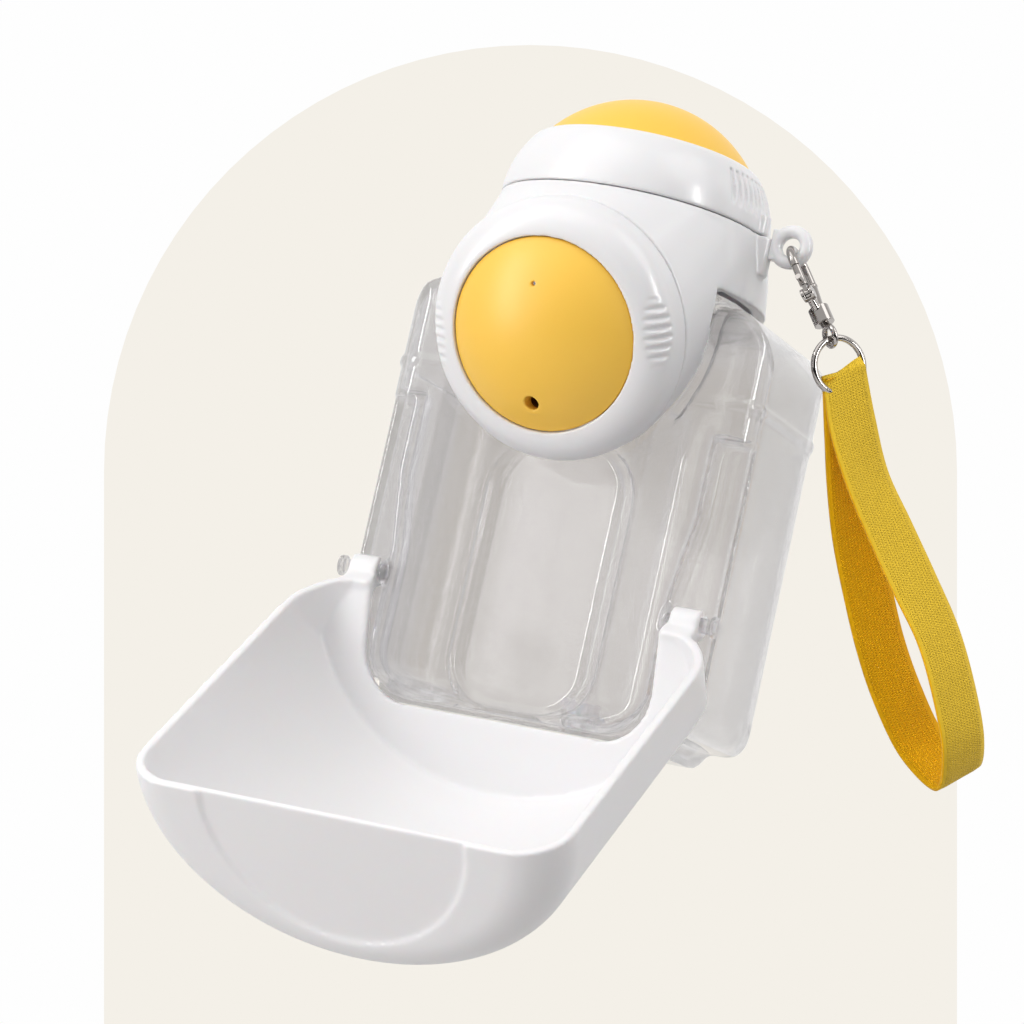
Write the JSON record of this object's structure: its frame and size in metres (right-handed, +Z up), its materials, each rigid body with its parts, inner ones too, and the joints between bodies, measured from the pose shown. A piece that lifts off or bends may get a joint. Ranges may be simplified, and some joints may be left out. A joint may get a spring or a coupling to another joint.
{
  "type": "dog travel water bottle with fold-up bowl",
  "caption": "Dog travel water bottle: clear bottle, white pump head with a yellow push button, snack cup under a domed lid, fold-up white bowl and a clip-on yellow wrist strap.",
  "frame": {"origin": "on the base plane, on the upright axis of the round head and lid", "axes": "+Z up along the bottle, -Y the front with the bowl and the button, +X the side with the strap"},
  "size_m": [0.194, 0.171, 0.2683],
  "materials": {
    "clear": "clear and glossy",
    "white": "satin gloss",
    "bowl_white": "fine satin",
    "yellow": "satin",
    "natural": "unpigmented",
    "seal": "soft, matt",
    "seal_dark": "soft, matt",
    "steel": "bright wire",
    "chrome": "bright plated",
    "webbing": "close woven ribbon"
  },
  "bodies": {
    "bottle": {"bottle": "clear", "hinge_pin_right": "clear", "hinge_pin_left": "clear"},
    "head": {"head_shell": "white", "strap_loop": "white", "head_deck": "white", "food_cup": "white", "neck_seal": "seal", "pump_cylinder": "natural", "inlet_duct": "natural", "inlet_ball": "steel", "dip_tube": "natural", "tube_foot": "white", "pump_spring": "steel"},
    "button": {"push_button": "yellow", "pump_piston": "white", "piston_seal": "seal_dark", "outlet_tube": "natural"},
    "front_ring": {"front_ring": "white"},
    "lid_seal": {"lid_seal": "seal"},
    "lid": {"lid_ring": "white", "lid_dome": "yellow"},
    "bowl": {"bowl": "bowl_white"},
    "clasp": {"clasp_hook": "chrome", "clasp_pin": "chrome"},
    "clasp_gate": {"clasp_gate": "chrome"},
    "swivel": {"clasp_swivel": "chrome"},
    "wrist_strap": {"strap_ring": "chrome", "strap_webbing": "webbing"}
  },
  "joints": [
    {"name": "head_lift", "type": "slide", "parent": "bottle", "child": "head", "axis": [0, 0, 1], "range_m": [0, 0.15]},
    {"name": "button_press", "type": "slide", "parent": "head", "child": "button", "axis": [0, 0.9085, 0.4179], "range_m": [0, 0.004], "stiffness_N_per_m": 600, "springref_m": -0.002, "deforming": ["pump_spring"]},
    {"name": "ring_turn", "type": "hinge", "parent": "head", "child": "front_ring", "pos_m": [0, -0.045, 0.1088], "axis": [0, -0.9085, -0.4179], "range_deg": [0, 25]},
    {"name": "lid_lift", "type": "slide", "parent": "head", "child": "lid_seal", "axis": [0, 0, 1], "range_m": [0, 0.03]},
    {"name": "lid_turn", "type": "hinge", "parent": "lid_seal", "child": "lid", "pos_m": [0, 0, 0.156], "axis": [0, 0, 1], "range_deg": [0, 25]},
    {"name": "bowl_fold", "type": "hinge", "parent": "bottle", "child": "bowl", "pos_m": [0, -0.0184, 0.0367], "axis": [-1, 0, 0], "range_deg": [0, 110]},
    {"name": "clasp_swing", "type": "hinge", "parent": "head", "child": "clasp", "pos_m": [0.0512, 0, 0.1538], "axis": [0, -1, 0], "range_deg": [0, 50]},
    {"name": "gate_open", "type": "hinge", "parent": "clasp", "child": "clasp_gate", "pos_m": [0.06139, -0.005, 0.13945], "axis": [0.8151, 0, 0.5793], "range_deg": [0, 20], "stiffness_Nm_per_rad": 0.02, "springref_deg": -11.46},
    {"name": "swivel_turn", "type": "hinge", "parent": "clasp", "child": "swivel", "pos_m": [0.06626, 0, 0.13261], "axis": [0.5793, 0, -0.8151], "continuous": true},
    {"name": "strap_swing", "type": "hinge", "parent": "swivel", "child": "wrist_strap", "pos_m": [0.07224, 0.00307, 0.12116], "axis": [0.7548, -0.6556, 0.0193], "range_deg": [0, 40]}
  ]
}
